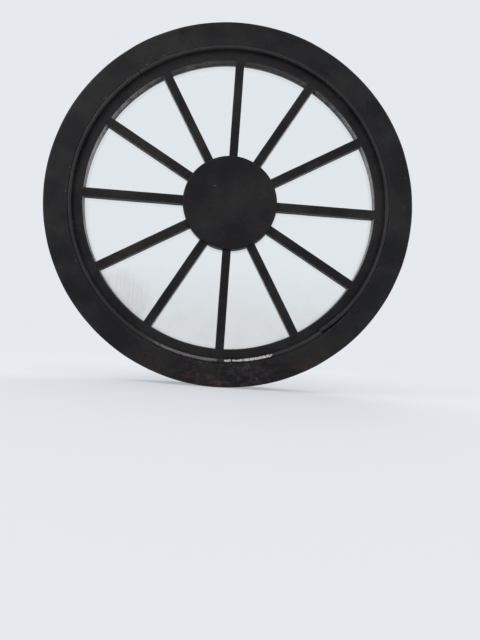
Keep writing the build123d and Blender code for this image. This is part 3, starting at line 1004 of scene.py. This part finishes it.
# Stop bead: two bent lengths of half round moulding that hold the sash in the frame. One end of
# the upper length has sprung inwards, away from the frame. The paint of the lower length has
# broken off in crumbs beside the lowest bar, down to its white ground, and before it the nose
# is painted a paler grey, partly rubbed paint and partly a painted highlight.
bead_lengths = (("upper", -31.0, 129.0, True, 91), ("lower", 129.0, 309.0, False, 92))
bead_middle_radius = 0.3779
bead_half = 0.005
bead_back = -0.0355
bead_spring_line = -0.0415
bead_inner_depths = (bead_back, -0.0370, -0.0379, -0.0411)
bead_nose_points = 17
bead_row_step = 0.0015
bead_joint_gap = 0.0015
bead_joint_turn = np.degrees(bead_joint_gap / (bead_middle_radius + bead_half))
sprung_turn = 20.0
sprung_lift = 0.005
bead_unevenness, bead_wave = 0.00035, 0.05
bead_ripple, bead_ripple_wave = 0.0002, 0.009
nose_wear_reach = 0.0025
nose_margin = 0.001
ground_colours = ((0.36, 0.34, 0.30, 1), (0.72, 0.70, 0.66, 1))
# Stretches of broken paint, the last of them mostly the pale rubbed band with its painted
# highlight: first and last angle, how deep they go, how firmly the paint holds there, and the
# degrees over which they start.
chipped_spans = (
    (271.0, 281.0, 1.0, 0.32, 1.1),
    (278.5, 289.8, 1.0, 0.17, 1.1),
    # Mostly the pale band before the broken paint: rubbed paint and a painted highlight.
    (240.0, 269.5, 0.30, 0.04, 22.0),
)
chipped_end_turn = 1.1
chip_depth = 0.0013
chip_shallowest = 0.4
chip_wave = 0.0036
chip_edge = 0.12
chip_side = (-0.0018, 0.0042, 1.2)
large_crumb, large_crumb_share = 0.0075, 0.6
small_crumb, small_crumb_share = 0.0032, 0.4


def half_round():
    """Section of the bead: a half circle towards the room on a square foot, as (offset, depth)."""
    turn = np.linspace(0, pi, bead_nose_points)
    nose = np.column_stack([-bead_half * np.cos(turn), bead_spring_line - bead_half * np.sin(turn)])
    heel = np.array((bead_half, bead_back))
    right = nose[-1] + np.linspace(0, 1, 6)[1:, None] * (heel - nose[-1])
    under = np.linspace(0, 1, 5)[1:-1, None] * np.array((-2 * bead_half, 0)) + heel
    left = np.array([(-bead_half, depth) for depth in bead_inner_depths])
    return np.concatenate([nose, right, under, left])


def square_to(section):
    """Outward normal at each point of a closed section: the line from the point before to the
    point after, turned a quarter."""
    along = np.roll(section, -1, 0) - np.roll(section, 1, 0)
    return np.stack([along[:, 1], -along[:, 0]], 1) / np.linalg.norm(along, axis=1)[:, None]


def bead_path(start, end, sprung):
    """Centre line, outward direction and angle along a length of bead. The sprung stretch is
    an arc that starts tangent to the rest and bends on a smaller radius."""
    length = radians(end - start) * bead_middle_radius
    angle = start + np.degrees(stations(0, length, bead_row_step) / bead_middle_radius)
    out = turned(1.0, 0.0, angle)
    centre = bead_middle_radius * out
    if sprung:
        sprung_length = radians(sprung_turn) * bead_middle_radius
        radius = 1 / (1 / bead_middle_radius + 2 * sprung_lift / sprung_length**2)
        back = start - np.degrees(stations(0, sprung_length, bead_row_step)[:0:-1] / radius)
        back_out = turned(1.0, 0.0, back)
        pivot = (bead_middle_radius - radius) * turned(1.0, 0.0, start)
        centre = np.concatenate([pivot + radius * back_out, centre])
        out = np.concatenate([back_out, out])
        angle = np.concatenate([back, angle])
    return centre, out, angle


def carried(section, centre, out):
    """Section carried along the bead: centre plus offset times the outward direction, in depth."""
    return centre[:, None] + section[..., :1] * out[:, None] + section[..., 1:] * depthwise


bead_paint, tree, shader, coat = painted("bead_paint", specular=0.24, Wear=0.15, Spatter=0.4)
crumbs = noise(object_place(tree), 0.0022, 5.0, 0.65)
chips = mask_on(tree, "chipped")
# A paler grey round the broken paint and along the band before it: rubbed paint and a painted
# highlight.
rubbed_and_highlight = times(ramp(total(chips, (crumbs, 0.20)), 0.12, 0.50), 0.25)
broken = ramp(total(chips, (crumbs, 0.35)), 0.62, 0.78)
ground = mixed(ramp(crumbs, 0.38, 0.66), *ground_colours)
colour = mixed(maths("MAXIMUM", rubbed_and_highlight, broken), coat["Colour"], ground)
roughness = total(coat["Roughness"], (broken, 0.35))
relief = total(coat["Height"], (times(broken, crumbs), 0.8), (broken, -0.5))
feed(shader, Colour=colour, Roughness=roughness, Height=relief)

bead_section = half_round()
bead_normals = square_to(bead_section)
on_nose = bead_section[:, 1] < bead_spring_line + nose_margin
worn_nose = np.exp(-(((bead_section[:, 1] - bead_spring_line + bead_half) / nose_wear_reach) ** 2))
side_middle, side_half, side_hold = chip_side
on_side = np.clip(side_hold - np.abs(bead_section[:, 0] - side_middle) / side_half, 0, 1)
for name, start, end, sprung, seed in bead_lengths:
    centre, out, angle = bead_path(start, end - bead_joint_turn, sprung)
    flush = carried(bead_section[None], centre, out)
    inset = bead_unevenness * unevenness(flush, bead_wave, seed)
    inset += bead_ripple * unevenness(flush, bead_ripple_wave, seed + 10)
    crumbs = unevenness(flush, large_crumb, seed + 20) * large_crumb_share
    crumbs += unevenness(flush, small_crumb, seed + 30) * small_crumb_share
    chipped = np.zeros(flush.shape[:2])
    for low, high, depth, hold, run_in in chipped_spans:
        inside = np.minimum((angle - low) / run_in, (high - angle) / chipped_end_turn)
        inside = np.clip(inside, 0, 1)[:, None] * on_nose
        loose = np.clip((crumbs * on_side * inside - hold) / chip_edge, 0, 1)
        chipped = np.maximum(chipped, loose * depth)
    floors = unevenness(flush, chip_wave, seed + 40)
    inset += chip_depth * chipped * (chip_shallowest + (1 - chip_shallowest) * floors)
    grid = carried(bead_section - inset[..., None] * bead_normals, centre, out)
    ends = [np.tile(grid[row].mean(0), (1, grid.shape[1], 1)) for row in (0, -1)]
    closed = np.concatenate([ends[0], grid, ends[1]])
    run = np.arange(len(closed))[:, None] * bead_row_step
    bead_grain = np.stack(np.broadcast_arrays(run, *bead_section.T), -1).reshape(-1, 3)
    new_piece(
        f"half_round_bead_{name}", shell(closed), bead_paint,
        [f"stop_bead_{name}"], bead_grain, seed,
        {"arris": worn_nose, "chipped": np.pad(chipped, ((1, 1), (0, 0))), "reveal": 0.0},
    )

# Brads: fourteen slim nails of the same cut steel, seven to a length of bead, driven through it
# into the frame until only their heads show.
dress(cut_steel, "bead_brads")
